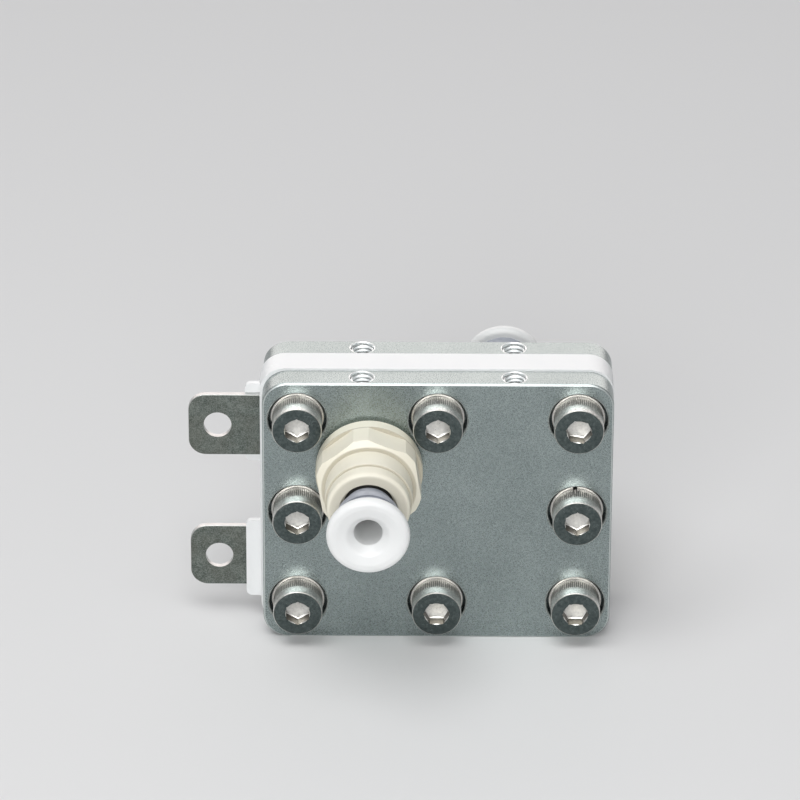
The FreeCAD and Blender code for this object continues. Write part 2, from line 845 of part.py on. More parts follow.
front_end_plate()
rear_end_plate()
insulator_frame("front_insulator_frame", 1)
insulator_frame("rear_insulator_frame", -1)
membrane_frame()
electrode_plate("front_electrode_plate", 1)
electrode_plate("rear_electrode_plate", -1)
inner_layers()
screw_set("cap_screws", cap_screw_blank(), "washer_thickness", [0] * len(SCREWS))
screw_set("spring_washers", spring_washer_blank(), "0", range(15, 375, 45))
fitting("front", 1)
fitting("rear", -1)
doc.recompute()
check_model()
write_parts()
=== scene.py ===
import math

import bpy
from mathutils import Matrix, Quaternion, Vector


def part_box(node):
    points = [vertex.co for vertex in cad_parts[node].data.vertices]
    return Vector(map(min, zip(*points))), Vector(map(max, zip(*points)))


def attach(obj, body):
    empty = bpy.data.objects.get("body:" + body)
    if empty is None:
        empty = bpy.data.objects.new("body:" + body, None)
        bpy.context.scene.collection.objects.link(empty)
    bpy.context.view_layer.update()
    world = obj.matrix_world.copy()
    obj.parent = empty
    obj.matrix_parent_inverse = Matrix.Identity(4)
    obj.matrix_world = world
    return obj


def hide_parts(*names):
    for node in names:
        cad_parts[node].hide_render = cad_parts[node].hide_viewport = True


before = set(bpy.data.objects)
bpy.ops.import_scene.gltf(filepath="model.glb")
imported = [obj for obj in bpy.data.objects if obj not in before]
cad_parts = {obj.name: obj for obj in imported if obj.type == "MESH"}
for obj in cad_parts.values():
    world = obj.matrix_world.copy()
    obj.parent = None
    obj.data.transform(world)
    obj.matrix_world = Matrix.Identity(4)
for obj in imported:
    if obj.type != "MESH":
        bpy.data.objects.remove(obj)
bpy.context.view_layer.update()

# A small cell that splits water: two blasted end plates clamp white frames between them.
# Everything is in metres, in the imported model's frame: X right, Y back, Z up.

bpy.ops.object.select_all(action="DESELECT")

MM = 0.001

# Height of the cell's middle over the plane that it stands on
MIDDLE_HEIGHT = 25 * MM

# How close a point lies to a height to count as on it, and how far a cutter stands out
NEAR = 0.01 * MM
OVERCUT = 1 * MM

# Clamping screws and their washers
SCREW_COLUMN = 24 * MM
SCREW_ROW = 18 * MM
SHANK_RADIUS = 2.5 * MM
SHANK_LENGTH = 14 * MM
SHANK_POINT = 0.5 * MM
HEAD_RADIUS = 4.25 * MM
HEAD_HEIGHT = 5 * MM
HEAD_EDGE = 0.25 * MM
HEAD_FOOT = 0.2 * MM
KEY_WIDTH = 4 * MM
KEY_DEPTH = 2.5 * MM
KEY_LEAD = 0.14 * MM
KNURLS = 72
KNURL_HEIGHT = 2.6 * MM
KNURL_SLOPE = 0.25 * MM
KNURL_DEPTH = 0.13 * MM
FOOT_DEPTH = 1.5 * KNURL_DEPTH
WASHER_RADIUS = 4.55 * MM
WASHER_BORE = 2.65 * MM
WASHER_THICKNESS = 1.2 * MM
WASHER_EDGE = 0.18 * MM
WASHER_GAP = 0.6 * MM
WASHER_SLANT = math.radians(35)

# Each screw's column, row, turn of the key socket and turn of the washer's gap, in degrees
SCREWS = (
    (-1, 1, 0, 200),
    (0, 1, 0, 330),
    (1, 1, 20, 215),
    (-1, 0, 0, 315),
    (1, 0, 0, 100),
    (-1, -1, 0, 240),
    (0, -1, 30, 285),
    (1, -1, 30, 345),
)

# Painted shade in the sinks of the screw heads: their radius, the foot of their bevelled rims and
# their floor
SINK_RADIUS = 5 * MM
SINK_TOP = -7.55 * MM
SINK_FLOOR = -5.6 * MM

# Each plate's outer bevel, by its distance from the cell's middle: dull from the first line on,
# a painted highlight from the second
BEVEL_START = 7.2 * MM
BEVEL_HIGHLIGHT = 7.64 * MM

# Tapped holes in the plates' top edges: distance between the two of a plate, distance from the
# cell's middle, drilled size, countersunk radius and the height above which their walls shine
TOP_HOLE_SPAN = 26 * MM
TOP_HOLE_LINE = 5.3 * MM
TOP_HOLE_RADIUS = 2 * MM
TOP_HOLE_DEPTH = 8 * MM
TOP_HOLE_MOUTH = 2.17 * MM
TOP_HOLE_REACH = 41.5 * MM

# Their threads. The ridge's foot and crest are half widths, as shares of the pitch.
THREAD_PITCH = 0.7 * MM
THREAD_HEIGHT = 0.36 * MM
THREAD_SEAT = 0.03 * MM
THREAD_FOOT = 0.49
THREAD_CREST = 0.09
THREAD_STEPS = 40
THREAD_RUNOUT = 0.45 * MM

# Axis of the fittings, on either side of the cell, and the sleeve's thin stem, which gets painted
# shade up to its end
PORT_X = 11.7 * MM
PORT_Z = 34.2 * MM
STEM_RADIUS = 4.3 * MM
STEM_SHADE_END = 23.3 * MM

# Distances from the cell's middle of the fitting's lines of painted shade: the collar's shoulder
# over each flat, the barrel's foot and the cap's edge
FITTING_SHADE_LINES = (10.9 * MM, 16.2 * MM, 20.75 * MM)

# How squarely a face looks to the front or back: 1 is straight, 0 is sideways, up or down
SQUARE_ON = 0.97
SLANTED = 0.85
NEARLY_ASIDE = 0.15

# Depth of the relief on polished, smooth and blasted surfaces
POLISHED = 0.002 * MM
SMOOTH = 0.004 * MM
BLASTED = 0.005 * MM

# The photograph's camera, as fitted to the plates' edges
PICTURE_WIDTH = 800
TARGET = Vector((0, 0, MIDDLE_HEIGHT))
CAMERA_DISTANCE = 1.03216
CAMERA_YAW = math.radians(-0.3611)
CAMERA_RISE = math.radians(29.563)
CAMERA_ROLL = math.radians(0.2348)
FOCAL_PIXELS = 5964.15
SENSOR_WIDTH = 36
AIM_RIGHT = -6.54 * MM
AIM_UP = 15.48 * MM


# Modelling

def pick(piece, kind, wanted):
    """Enter edit mode with only the vertices, edges or faces that pass the test selected."""
    if piece.mode == "EDIT":
        leave_edit()
    mesh = piece.data
    points = mesh.vertices
    for group in (points, mesh.edges, mesh.polygons):
        group.foreach_set("select", [False] * len(group))
    for item in {"VERT": points, "EDGE": mesh.edges, "FACE": mesh.polygons}[kind]:
        if kind == "VERT":
            corners = [item]
        else:
            corners = [points[number] for number in item.vertices]
        if all(wanted(corner.co) for corner in corners):
            item.select = True
            for corner in corners:
                corner.select = True
    bpy.ops.object.mode_set(mode="EDIT")
    bpy.ops.mesh.select_mode(type=kind)


def leave_edit():
    """Back to object mode."""
    bpy.ops.object.mode_set(mode="OBJECT")


def squeeze(share):
    """Bring what is selected to this share of its distance from the upright axis."""
    bpy.ops.transform.resize(value=(share, share, 1), center_override=(0, 0, 0))


def slice_flat(height):
    """Add a ring of edges all round at this height, in edit mode."""
    bpy.ops.mesh.select_all(action="SELECT")
    bpy.ops.mesh.bisect(plane_co=(0, 0, height), plane_no=(0, 0, 1))


def finish_modifier(piece, modifier):
    """Apply a modifier to its piece."""
    bpy.context.view_layer.objects.active = piece
    bpy.ops.object.modifier_apply(modifier=modifier.name)


def carve(piece, cutter):
    """Cut one closed shape out of another and throw the cutter away."""
    modifier = piece.modifiers.new("Carve", "BOOLEAN")
    modifier.operation = "DIFFERENCE"
    modifier.object = cutter
    finish_modifier(piece, modifier)
    bpy.data.objects.remove(cutter)


def soften(piece, width):
    """Round the sharp edges of a piece."""
    modifier = piece.modifiers.new("Soften", "BEVEL")
    modifier.width = width
    modifier.segments = 3
    modifier.limit_method = "ANGLE"
    modifier.angle_limit = math.radians(40)
    finish_modifier(piece, modifier)


def smooth(piece):
    """Shade a piece smooth where its faces meet at a shallow angle."""
    bpy.ops.object.select_all(action="DESELECT")
    piece.select_set(True)
    bpy.context.view_layer.objects.active = piece
    bpy.ops.object.shade_smooth_by_angle(angle=math.radians(30))
    piece.select_set(False)


def cylinder(radius, bottom, top, sides):
    """A closed upright cylinder between two heights."""
    bpy.ops.mesh.primitive_cylinder_add(
        vertices=sides, radius=radius, depth=top - bottom, location=(0, 0, (top + bottom) / 2)
    )
    return settle_place(bpy.context.object)


def drill_point(radius, bottom, top):
    """A closed upright cone that widens from its point to this radius at the top."""
    bpy.ops.mesh.primitive_cone_add(
        vertices=64,
        radius1=0,
        radius2=radius,
        depth=top - bottom,
        location=(0, 0, (top + bottom) / 2),
    )
    return settle_place(bpy.context.object)


def settle_place(piece):
    """Put a new object's place into its mesh, with the object at the origin."""
    piece.data.transform(piece.matrix_basis)
    piece.matrix_basis = Matrix.Identity(4)
    return piece


def stand_copy(blank, name, place):
    """A copy of a blank with its own mesh, standing at its place on the cell."""
    piece = blank.copy()
    piece.name = name
    piece.data = blank.data.copy()
    piece.data.name = name
    piece.data.transform(place)
    bpy.context.scene.collection.objects.link(piece)
    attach(piece, "cell")
    return piece


def across(point):
    """Distance of a point from the upright axis."""
    return math.hypot(point.x, point.y)


def store_turning(piece):
    """Keep each point's radius and height, in millimetres, as the piece's own map."""
    layer = piece.data.uv_layers.new(name="turning")
    for loop in piece.data.loops:
        point = piece.data.vertices[loop.vertex_index].co
        layer.data[loop.index].uv = (across(point) / MM, point.z / MM)


def cap_screw():
    """One socket head cap screw, its head's underside at height 0 and its top upwards."""
    piece = cylinder(HEAD_RADIUS, 0, HEAD_HEIGHT, sides=2 * KNURLS)
    bpy.ops.object.mode_set(mode="EDIT")
    slice_flat(HEAD_FOOT)
    slice_flat(KNURL_HEIGHT)
    slice_flat(KNURL_HEIGHT + KNURL_SLOPE)

    # Every second line of points sinks to make the knurl's grooves
    def in_groove(point):
        line = round(math.atan2(point.y, point.x) / math.pi * KNURLS)
        return line % 2 and HEAD_FOOT - NEAR < point.z < KNURL_HEIGHT + NEAR

    pick(piece, "VERT", in_groove)
    squeeze(1 - KNURL_DEPTH / HEAD_RADIUS)
    pick(piece, "VERT", lambda point: point.z < NEAR)
    squeeze(1 - FOOT_DEPTH / HEAD_RADIUS)
    pick(piece, "EDGE", lambda point: point.z > HEAD_HEIGHT - NEAR)
    bpy.ops.mesh.bevel(offset=HEAD_EDGE, segments=5, affect="EDGES")

    # The shank grows from the underside
    pick(piece, "FACE", lambda point: point.z < NEAR)
    bpy.ops.mesh.inset(thickness=NEAR)
    squeeze(SHANK_RADIUS / (HEAD_RADIUS - FOOT_DEPTH))
    bpy.ops.mesh.extrude_region_move(TRANSFORM_OT_translate={"value": (0, 0, -SHANK_LENGTH)})
    pick(piece, "EDGE", lambda point: point.z < NEAR - SHANK_LENGTH)
    bpy.ops.mesh.bevel(offset=SHANK_POINT, segments=1, affect="EDGES")
    leave_edit()

    # Key socket with a bevelled mouth and the point that its drill leaves
    floor = HEAD_HEIGHT - KEY_DEPTH
    carve(piece, cylinder(KEY_WIDTH / math.sqrt(3), floor, HEAD_HEIGHT + OVERCUT, sides=6))
    mouth = KEY_WIDTH / 2 + KEY_LEAD
    carve(piece, drill_point(mouth + OVERCUT, HEAD_HEIGHT - mouth, HEAD_HEIGHT + OVERCUT))
    drill = KEY_WIDTH / 2 - NEAR
    carve(piece, drill_point(drill + drill / 2, floor - drill / 2, floor + drill / 4))
    smooth(piece)
    store_turning(piece)
    piece.name = "cap_screw_blank"
    return piece


def finish_screw(piece):
    """Give a screw its steels: knurled unless a face is on top, in the key socket or at the end,
    which get copies with painted shade or painted light.
    """
    for material in (STEEL, STEEL_FACE_PAINTED_SHADE, STEEL_SOCKET_PAINTED_LIGHT, STEEL_WALL_PAINTED_SHADE):
        piece.data.materials.append(material)
    # The top gets painted shade, the socket's floor and the shank's end painted light, the socket's
    # walls painted shade
    top, socket, wall = 1, 2, 3
    for face in piece.data.polygons:
        if face.center.z > HEAD_HEIGHT - NEAR:
            face.material_index = top
        elif face.center.z < NEAR - SHANK_LENGTH:
            face.material_index = socket
        elif across(face.center) < KEY_WIDTH / 2 + KEY_LEAD and face.center.z > NEAR:
            face.material_index = socket if abs(face.normal.z) > 0.3 else wall


def spring_washer():
    """One flattened split washer, its back at height 0."""
    piece = cylinder(WASHER_RADIUS, 0, WASHER_THICKNESS, sides=96)
    carve(piece, cylinder(WASHER_BORE, -OVERCUT, WASHER_THICKNESS + OVERCUT, sides=96))
    bpy.ops.mesh.primitive_cube_add(size=1)
    saw = bpy.context.object
    saw.data.transform(Matrix.Diagonal((2 * WASHER_RADIUS, WASHER_GAP, 4 * WASHER_THICKNESS, 1)))
    saw.data.transform(Matrix.Rotation(WASHER_SLANT, 4, "X"))
    saw.data.transform(Matrix.Translation((WASHER_RADIUS, 0, WASHER_THICKNESS / 2)))
    carve(piece, saw)
    soften(piece, WASHER_EDGE)
    smooth(piece)
    piece.name = "spring_washer_blank"
    return piece


def hole_thread():
    """The thread of one tapped hole: a ridge that winds down from the mouth at height 0."""
    turns = math.floor((TOP_HOLE_DEPTH - THREAD_PITCH) / THREAD_PITCH)
    foot = TOP_HOLE_RADIUS - THREAD_SEAT
    crest = TOP_HOLE_RADIUS - THREAD_HEIGHT
    bpy.ops.mesh.primitive_plane_add(size=1)
    piece = bpy.context.object
    # The ridge's section, by the numbers that a plane's corners have
    profile = {
        0: (foot, -THREAD_FOOT),
        1: (crest, -THREAD_CREST),
        3: (crest, THREAD_CREST),
        2: (foot, THREAD_FOOT),
    }
    for corner, (radius, share) in profile.items():
        piece.data.vertices[corner].co = (radius, 0, (share + 1) * THREAD_PITCH)
    pick(piece, "FACE", lambda point: True)
    bpy.ops.mesh.delete(type="ONLY_FACE")
    leave_edit()
    modifier = piece.modifiers.new("Wind", "SCREW")
    modifier.axis = "Z"
    modifier.angle = math.tau
    modifier.screw_offset = -THREAD_PITCH
    modifier.iterations = turns
    modifier.steps = THREAD_STEPS
    modifier.render_steps = THREAD_STEPS
    modifier.use_merge_vertices = False
    finish_modifier(piece, modifier)
    bpy.ops.object.mode_set(mode="EDIT")
    bpy.ops.mesh.select_mode(type="EDGE")
    bpy.ops.mesh.select_all(action="DESELECT")
    bpy.ops.mesh.select_non_manifold()
    bpy.ops.mesh.edge_face_add()
    bpy.ops.mesh.select_all(action="SELECT")
    bpy.ops.mesh.normals_make_consistent(inside=False)
    leave_edit()
    carve(piece, cylinder(1.5 * TOP_HOLE_RADIUS, -THREAD_RUNOUT, 2 * THREAD_PITCH, sides=24))
    smooth(piece)
    store_turning(piece)
    piece.name = "hole_thread_blank"
    return piece


# Finishes

class Reading:
    """A value that varies over a surface. A sum with it adds a Math node."""

    def __init__(self, finish, socket):
        self.finish = finish
        self.socket = socket

    def sum(self, operation, first, second):
        """What an operation makes of two numbers or readings."""
        return self.finish.node("Math", [first, second], operation=operation)

    def __add__(self, other):
        return self.sum("ADD", self, other)

    def __radd__(self, other):
        return self.sum("ADD", other, self)

    def __sub__(self, other):
        return self.sum("SUBTRACT", self, other)

    def __rsub__(self, other):
        return self.sum("SUBTRACT", other, self)

    def __mul__(self, other):
        return self.sum("MULTIPLY", self, other)

    def __rmul__(self, other):
        return self.sum("MULTIPLY", other, self)

    def __pow__(self, other):
        return self.sum("POWER", self, other)

    def __abs__(self):
        return self.sum("ABSOLUTE", self, 0.0)


class Finish:
    """A material built from nodes around one shader."""

    def __init__(self, name, **constants):
        self.material = bpy.data.materials.new(name)
        self.material.use_nodes = True
        self.shader = self.material.node_tree.nodes["Principled BSDF"]
        for socket, value in constants.items():
            self.shader.inputs[socket.replace("_", " ").title()].default_value = value
        self.place = self.node("TexCoord", output="Object")

    def node(self, kind, values=(), output=None, **settings):
        """Add a node, make its settings, then fill its sockets with numbers or links."""
        made = self.material.node_tree.nodes.new("ShaderNode" + kind)
        for name, value in settings.items():
            setattr(made, name, value)
        named = values.items() if isinstance(values, dict) else enumerate(values)
        for key, value in named:
            if isinstance(key, int):
                socket = made.inputs[key]
            else:
                socket = next(item for item in made.inputs if item.name == key and item.enabled)
            self.feed(socket, value)
        outputs = [item for item in made.outputs if item.enabled and output in (None, item.name)]
        return Reading(self, outputs[0])

    def feed(self, socket, value):
        """Link a reading to a socket, or set a plain value on it."""
        if isinstance(value, Reading):
            self.material.node_tree.links.new(value.socket, socket)
        elif isinstance(value, tuple) and len(value) == 3 and socket.type == "RGBA":
            socket.default_value = (*value, 1)
        else:
            socket.default_value = value

    def along(self, axis):
        """Where a point lies along one axis of the cell."""
        return self.node("SeparateXYZ", [self.place], output=axis)

    def depth(self):
        """Distance from the cell's middle, towards the front or the back."""
        return abs(self.along("Y"))

    def noise(self, size, detail=2.0, stretch=(1, 1, 1), contrast=1.0):
        """Soft random marks of about this size, in metres, centred on 0.5."""
        spread = tuple(1 / (size * share) for share in stretch)
        place = self.node("VectorMath", [self.place, spread], operation="MULTIPLY")
        marks = self.node("TexNoise", {"Vector": place, "Scale": 1.0, "Detail": detail})
        if contrast == 1:
            return marks
        return self.node("Clamp", [(marks - 0.5) * contrast + 0.5])

    def turning(self, axis):
        """The radius (X) or height (Y), in millimetres, kept in the piece's own map."""
        turning = self.node("UVMap", output="UV", uv_map="turning")
        return self.node("SeparateXYZ", [turning], output=axis)

    def rings(self, spacing):
        """Fine turning marks that follow the radius kept in the piece's own map."""
        radius = self.turning("X") * (MM / spacing)
        return self.node("TexNoise", {"W": radius, "Scale": 1.0}, noise_dimensions="1D")

    def facing_ends(self):
        """How squarely a face looks to the front or back, from 0 to 1."""
        direction = self.node("TexCoord", output="Normal")
        return abs(self.node("SeparateXYZ", [direction], output="Y"))

    def step(self, value, start, end):
        """0 below start, 1 above end and a ramp between; start may be the higher one."""
        return self.node("Clamp", [(value - start) * (1 / (end - start))])

    def blend(self, share, first, second):
        """Between two colours."""
        return self.node("Mix", {"Factor": share, "A": first, "B": second}, data_type="RGBA")

    def relief(self, height, depth):
        """Bumps of this depth, in metres, from a reading of 0 to 1."""
        return self.node("Bump", {"Height": height, "Distance": depth, "Strength": 1.0})

    def dress(self, colour=None, roughness=None, normal=None):
        """Feed the shader with what changes over the surface."""
        changing = {"Base Color": colour, "Roughness": roughness, "Normal": normal}
        for socket, value in changing.items():
            if value is not None:
                self.feed(self.shader.inputs[socket], value)
        return self.material


def wrapped(finish, value, pitch):
    """How far a place lies from the nearest line of a row with this pitch."""
    return abs(finish.node("Math", [value, pitch / 2, -pitch / 2], operation="WRAP"))


def radius_of(first, second):
    """Distance from an axis, from the two distances at right angles to it."""
    return (first * first + second * second) ** 0.5


def sink_shade_mask(finish):
    """1 on the walls and floors of the sinks that hold the screw heads, where shade is painted."""
    aside = wrapped(finish, finish.along("X"), SCREW_COLUMN)
    upwards = wrapped(finish, finish.along("Z") - MIDDLE_HEIGHT, SCREW_ROW)
    radius = radius_of(aside, upwards)
    inwards = finish.along("Y")
    inside = finish.step(radius, SINK_RADIUS + 0.2 * MM, SINK_RADIUS + 0.05 * MM)
    inside = inside * finish.step(inwards, SINK_TOP, SINK_TOP + 0.2 * MM)
    return inside * finish.step(inwards, SINK_FLOOR + 0.2 * MM, SINK_FLOOR + 0.1 * MM)


def mouth_mask(finish):
    """1 inside the tapped holes of the plates' top edges, with their countersinks."""
    aside = abs(finish.along("X")) - TOP_HOLE_SPAN / 2
    behind = finish.depth() - TOP_HOLE_LINE
    radius = radius_of(aside, behind)
    inside = finish.step(radius, TOP_HOLE_MOUTH + 0.04 * MM, TOP_HOLE_MOUTH)
    return inside * finish.step(finish.along("Z"), TOP_HOLE_REACH, TOP_HOLE_REACH + 0.1 * MM)


def blasted_aluminium():
    """Bead blasted and clear anodised: even sparkle, bright mouths, bevels with a painted highlight
    and sinks with painted shade.
    """
    finish = Finish("blasted_aluminium", metallic=1.0)
    dents = finish.noise(0.18 * MM, detail=2, contrast=3.4)
    grain = finish.noise(0.1 * MM, detail=1, contrast=3.4)
    cloud = finish.noise(9 * MM, detail=2, contrast=1.5)
    tone = dents * 0.4 + grain * 0.4 + cloud * 0.2
    metal = finish.blend(tone, (0.135, 0.166, 0.165), (0.395, 0.45, 0.445))

    # Bevels are the faces that slant and get a painted highlight; the outer ones keep it along
    # their outer half alone
    ends = finish.facing_ends()
    bevel = finish.step(ends, NEARLY_ASIDE, 0.4) * finish.step(ends, SQUARE_ON, SLANTED)
    depth = finish.depth()
    dull = finish.step(depth, BEVEL_START, BEVEL_START + 0.05 * MM)
    dull = dull * finish.step(depth, BEVEL_HIGHLIGHT, BEVEL_HIGHLIGHT - 0.05 * MM)
    bevel = bevel * (1 - 0.8 * dull)
    # Painted highlight on the bevels
    metal = finish.blend(bevel * 0.8, metal, (0.7, 0.74, 0.73))
    metal = finish.blend(mouth_mask(finish), metal, (0.85, 0.88, 0.88))
    return finish.dress(
        # Painted shade on the walls and floors of the sinks
        colour=finish.blend(sink_shade_mask(finish) * 0.8, metal, (0.03, 0.035, 0.035)),
        roughness=0.24 + 0.1 * dents + 0.22 * bevel,
        normal=finish.relief(dents * (1 - bevel), BLASTED),
    )


def bare_aluminium():
    """Freshly cut thread, bright and a little torn, with painted shade in its roots."""
    finish = Finish("bare_aluminium", metallic=1.0)
    tears = finish.noise(0.12 * MM, detail=2, contrast=1.6)
    crest = (TOP_HOLE_RADIUS - THREAD_HEIGHT) / MM
    flank_end, root_start = crest + 0.22, crest + 0.3
    # Painted shade in the roots between the thread's flanks
    root_shade = finish.step(finish.turning("X"), flank_end, root_start)
    metal = finish.blend(tears, (0.84, 0.87, 0.87), (0.94, 0.965, 0.965))
    return finish.dress(
        colour=finish.blend(root_shade, metal, (0.34, 0.345, 0.34)),
        roughness=0.42 + 0.16 * tears,
        normal=finish.relief(tears, BLASTED),
    )


def white_plastic():
    """Machined white sheet, satin, with faint saw lines on its edges."""
    finish = Finish("white_plastic")
    cloud = finish.noise(5 * MM, detail=3)
    lines = finish.noise(0.5 * MM, stretch=(20, 0.35, 1), contrast=1.5)
    return finish.dress(
        colour=finish.blend(cloud, (0.82, 0.835, 0.84), (0.88, 0.885, 0.88)),
        roughness=0.36 + 0.12 * lines,
        normal=finish.relief(lines, 0.006 * MM),
    )


def titanium():
    """Stamped titanium sheet: dark, mottled faces with bright sheared edges."""
    finish = Finish("titanium", metallic=1.0)
    grain = finish.noise(0.22 * MM, detail=2, contrast=3.6)
    mottle = finish.noise(0.9 * MM, detail=4, contrast=2.4)
    stain = finish.noise(3.5 * MM, detail=3, contrast=2.0)
    face = finish.blend(grain * 0.6 + mottle * 0.4, (0.055, 0.07, 0.062), (0.25, 0.28, 0.258))
    face = finish.blend(stain * 0.5, face, (0.15, 0.148, 0.125))
    sheared = finish.step(finish.facing_ends(), SQUARE_ON, 0.8)
    return finish.dress(
        colour=finish.blend(sheared, face, (0.5, 0.51, 0.5)),
        roughness=0.36 + 0.14 * mottle,
        normal=finish.relief(grain, 0.008 * MM),
    )


def turned_steel(name, dark, light, roughness):
    """Stainless steel off the lathe, with turning marks round its axis."""
    finish = Finish(name, metallic=1.0)
    marks = finish.rings(0.07 * MM)
    stain = finish.noise(0.5 * MM, detail=3, contrast=2.0)
    return finish.dress(
        colour=finish.blend(stain * 0.6 + marks * 0.4, dark, light),
        roughness=roughness + 0.1 * stain,
        normal=finish.relief(marks, POLISHED),
    )


def knurled_steel():
    """The head's side: bright, with painted shade in the knurl's grooves above its foot."""
    finish = Finish("screw_steel", metallic=1.0)
    radius, height = finish.turning("X"), finish.turning("Y")
    groove = (HEAD_RADIUS - KNURL_DEPTH) / MM
    ridge = (HEAD_RADIUS - KNURL_DEPTH / 3) / MM
    shank = SHANK_RADIUS / MM
    # Painted shade in the knurl's grooves, from a little above the foot
    unshaded_foot, shaded_side = 0.6, 1.0
    groove_shade = finish.step(radius, ridge, groove) * finish.step(radius, shank + 0.4, shank + 0.8)
    groove_shade = groove_shade * finish.step(height, unshaded_foot, shaded_side)
    stain = finish.noise(0.35 * MM, detail=3, contrast=3.0)
    steel = finish.blend(stain, (0.6, 0.59, 0.56), (0.93, 0.92, 0.89))
    return finish.dress(
        colour=finish.blend(groove_shade, steel, (0.24, 0.243, 0.228)),
        roughness=0.38 + 0.1 * stain + 0.12 * groove_shade,
        normal=finish.relief(stain, SMOOTH),
    )


def spring_steel():
    """Drawn wire, flattened: bright, with fine scratches."""
    finish = Finish("washer_steel", metallic=1.0)
    scratches = finish.noise(0.15 * MM, detail=3, contrast=1.8)
    return finish.dress(
        colour=finish.blend(scratches, (0.35, 0.343, 0.32), (0.6, 0.59, 0.555)),
        roughness=0.24 + 0.16 * scratches,
        normal=finish.relief(scratches, SMOOTH),
    )


def moulded_plastic(name, dark, light, roughness, ledge_shade=1.0, lines=()):
    """Smooth moulded polymer with a trace of its flow, and painted shade on ledges and along lines.
    """
    finish = Finish(name, coat_weight=0.1, coat_roughness=0.18)
    flow = finish.noise(3.5 * MM, detail=3, contrast=1.3)
    fine = finish.noise(0.16 * MM, detail=1)
    colour = finish.blend(flow, dark, light)
    # Painted shade on faces that look straight to the front or back
    if ledge_shade < 1:
        shade = finish.step(finish.facing_ends(), SLANTED, SQUARE_ON)
        colour = finish.blend(shade, colour, tuple(part * ledge_shade for part in dark))
    # Painted shade along thin lines at these distances from the cell's middle
    for line in lines:
        line_shade = finish.step(abs(finish.depth() - line), 0.22 * MM, 0.1 * MM)
        colour = finish.blend(line_shade * 0.55, colour, (0.40, 0.36, 0.27))
    return finish.dress(
        colour=colour,
        roughness=roughness + 0.06 * flow,
        normal=finish.relief(fine, SMOOTH),
    )


def sleeve_plastic():
    """Blue grey polymer, with painted shade, dark and dull, on the thin stem that runs inside the
    cap.
    """
    finish = Finish("grey_plastic", coat_roughness=0.18)
    flow = finish.noise(1.6 * MM, detail=4, contrast=2.2)
    fine = finish.noise(0.16 * MM, detail=1)
    # Painted shade on the thin stem inside the cap's mouth
    radius = radius_of(abs(finish.along("X")) - PORT_X, finish.along("Z") - PORT_Z)
    stem = finish.step(radius, STEM_RADIUS + 0.5 * MM, STEM_RADIUS + 0.3 * MM)
    stem = stem * finish.step(finish.depth(), STEM_SHADE_END, STEM_SHADE_END - 0.1 * MM)
    grey = finish.blend(flow, (0.31, 0.33, 0.38), (0.43, 0.45, 0.5))
    return finish.dress(
        colour=finish.blend(stem, grey, (0.02, 0.02, 0.022)),
        roughness=0.34 + 0.06 * flow + 0.3 * stem,
        normal=finish.relief(fine, SMOOTH),
    )


def coated_membrane():
    """Ion exchange film under a dull black catalyst coat."""
    finish = Finish("membrane_film")
    coat = finish.noise(0.4 * MM, detail=5, contrast=1.8)
    return finish.dress(
        colour=finish.blend(coat, (0.012, 0.012, 0.013), (0.04, 0.04, 0.042)),
        roughness=0.7 + 0.2 * coat,
        normal=finish.relief(coat, 0.01 * MM),
    )


def porous_metal():
    """Sintered fibre felt: a mat of fine bright strands."""
    finish = Finish("porous_titanium", metallic=1.0)
    strands = finish.noise(0.1 * MM, detail=6, contrast=2.5)
    return finish.dress(
        colour=finish.blend(strands, (0.12, 0.12, 0.125), (0.5, 0.5, 0.5)),
        roughness=0.45 + 0.2 * strands,
        normal=finish.relief(strands, 0.04 * MM),
    )


def carbon_paper():
    """Carbon fibre paper: matt, with crossing fibres."""
    finish = Finish("carbon_felt")
    along = finish.noise(0.06 * MM, stretch=(16, 1, 1), contrast=2.2)
    upright = finish.noise(0.06 * MM, stretch=(1, 1, 16), contrast=2.2)
    fibres = along * 0.5 + upright * 0.5
    return finish.dress(
        colour=finish.blend(fibres, (0.012, 0.012, 0.013), (0.07, 0.07, 0.075)),
        roughness=0.6 + 0.25 * fibres,
        normal=finish.relief(fibres, 0.02 * MM),
    )


def seal_rubber():
    """Black moulded rubber with a trace of bloom."""
    finish = Finish("seal_rubber")
    bloom = finish.noise(0.8 * MM, detail=4, contrast=1.5)
    return finish.dress(
        colour=finish.blend(bloom, (0.012, 0.012, 0.012), (0.035, 0.035, 0.036)),
        roughness=0.5 + 0.2 * bloom,
        normal=finish.relief(bloom, 0.01 * MM),
    )


def pale_floor():
    """A plain pale sheet that keeps the cell's shadow."""
    finish = Finish("pale_floor")
    cloud = finish.noise(250 * MM)
    return finish.dress(
        colour=finish.blend(cloud, (0.725, 0.725, 0.725), (0.745, 0.745, 0.745)),
        roughness=0.7 + 0.1 * cloud,
    )


WHITE_PLASTIC = white_plastic()
TITANIUM = titanium()
ALUMINIUM = blasted_aluminium()
SEAL = seal_rubber()
STEEL = knurled_steel()
# Lit and shaded copies of one steel: painted shade on the head's top and the socket's walls,
# painted light on the socket's floor
STEEL_FACE_PAINTED_SHADE = turned_steel(
    "screw_face_painted_shade", dark=(0.034, 0.046, 0.046), light=(0.13, 0.155, 0.152), roughness=0.2
)
STEEL_SOCKET_PAINTED_LIGHT = turned_steel(
    "screw_socket_painted_light", dark=(0.6, 0.595, 0.57), light=(0.95, 0.94, 0.9), roughness=0.26
)
STEEL_WALL_PAINTED_SHADE = turned_steel(
    "socket_wall_painted_shade", dark=(0.05, 0.045, 0.036), light=(0.13, 0.12, 0.1), roughness=0.16
)
IVORY = moulded_plastic(
    "ivory_plastic",
    dark=(0.825, 0.785, 0.655),
    light=(0.875, 0.84, 0.71),
    roughness=0.48,
    ledge_shade=0.9,
    lines=FITTING_SHADE_LINES,
)
SLEEVE_GREY = sleeve_plastic()
BUTTON_WHITE = moulded_plastic(
    "button_plastic", dark=(0.805, 0.815, 0.81), light=(0.85, 0.855, 0.85), roughness=0.4
)

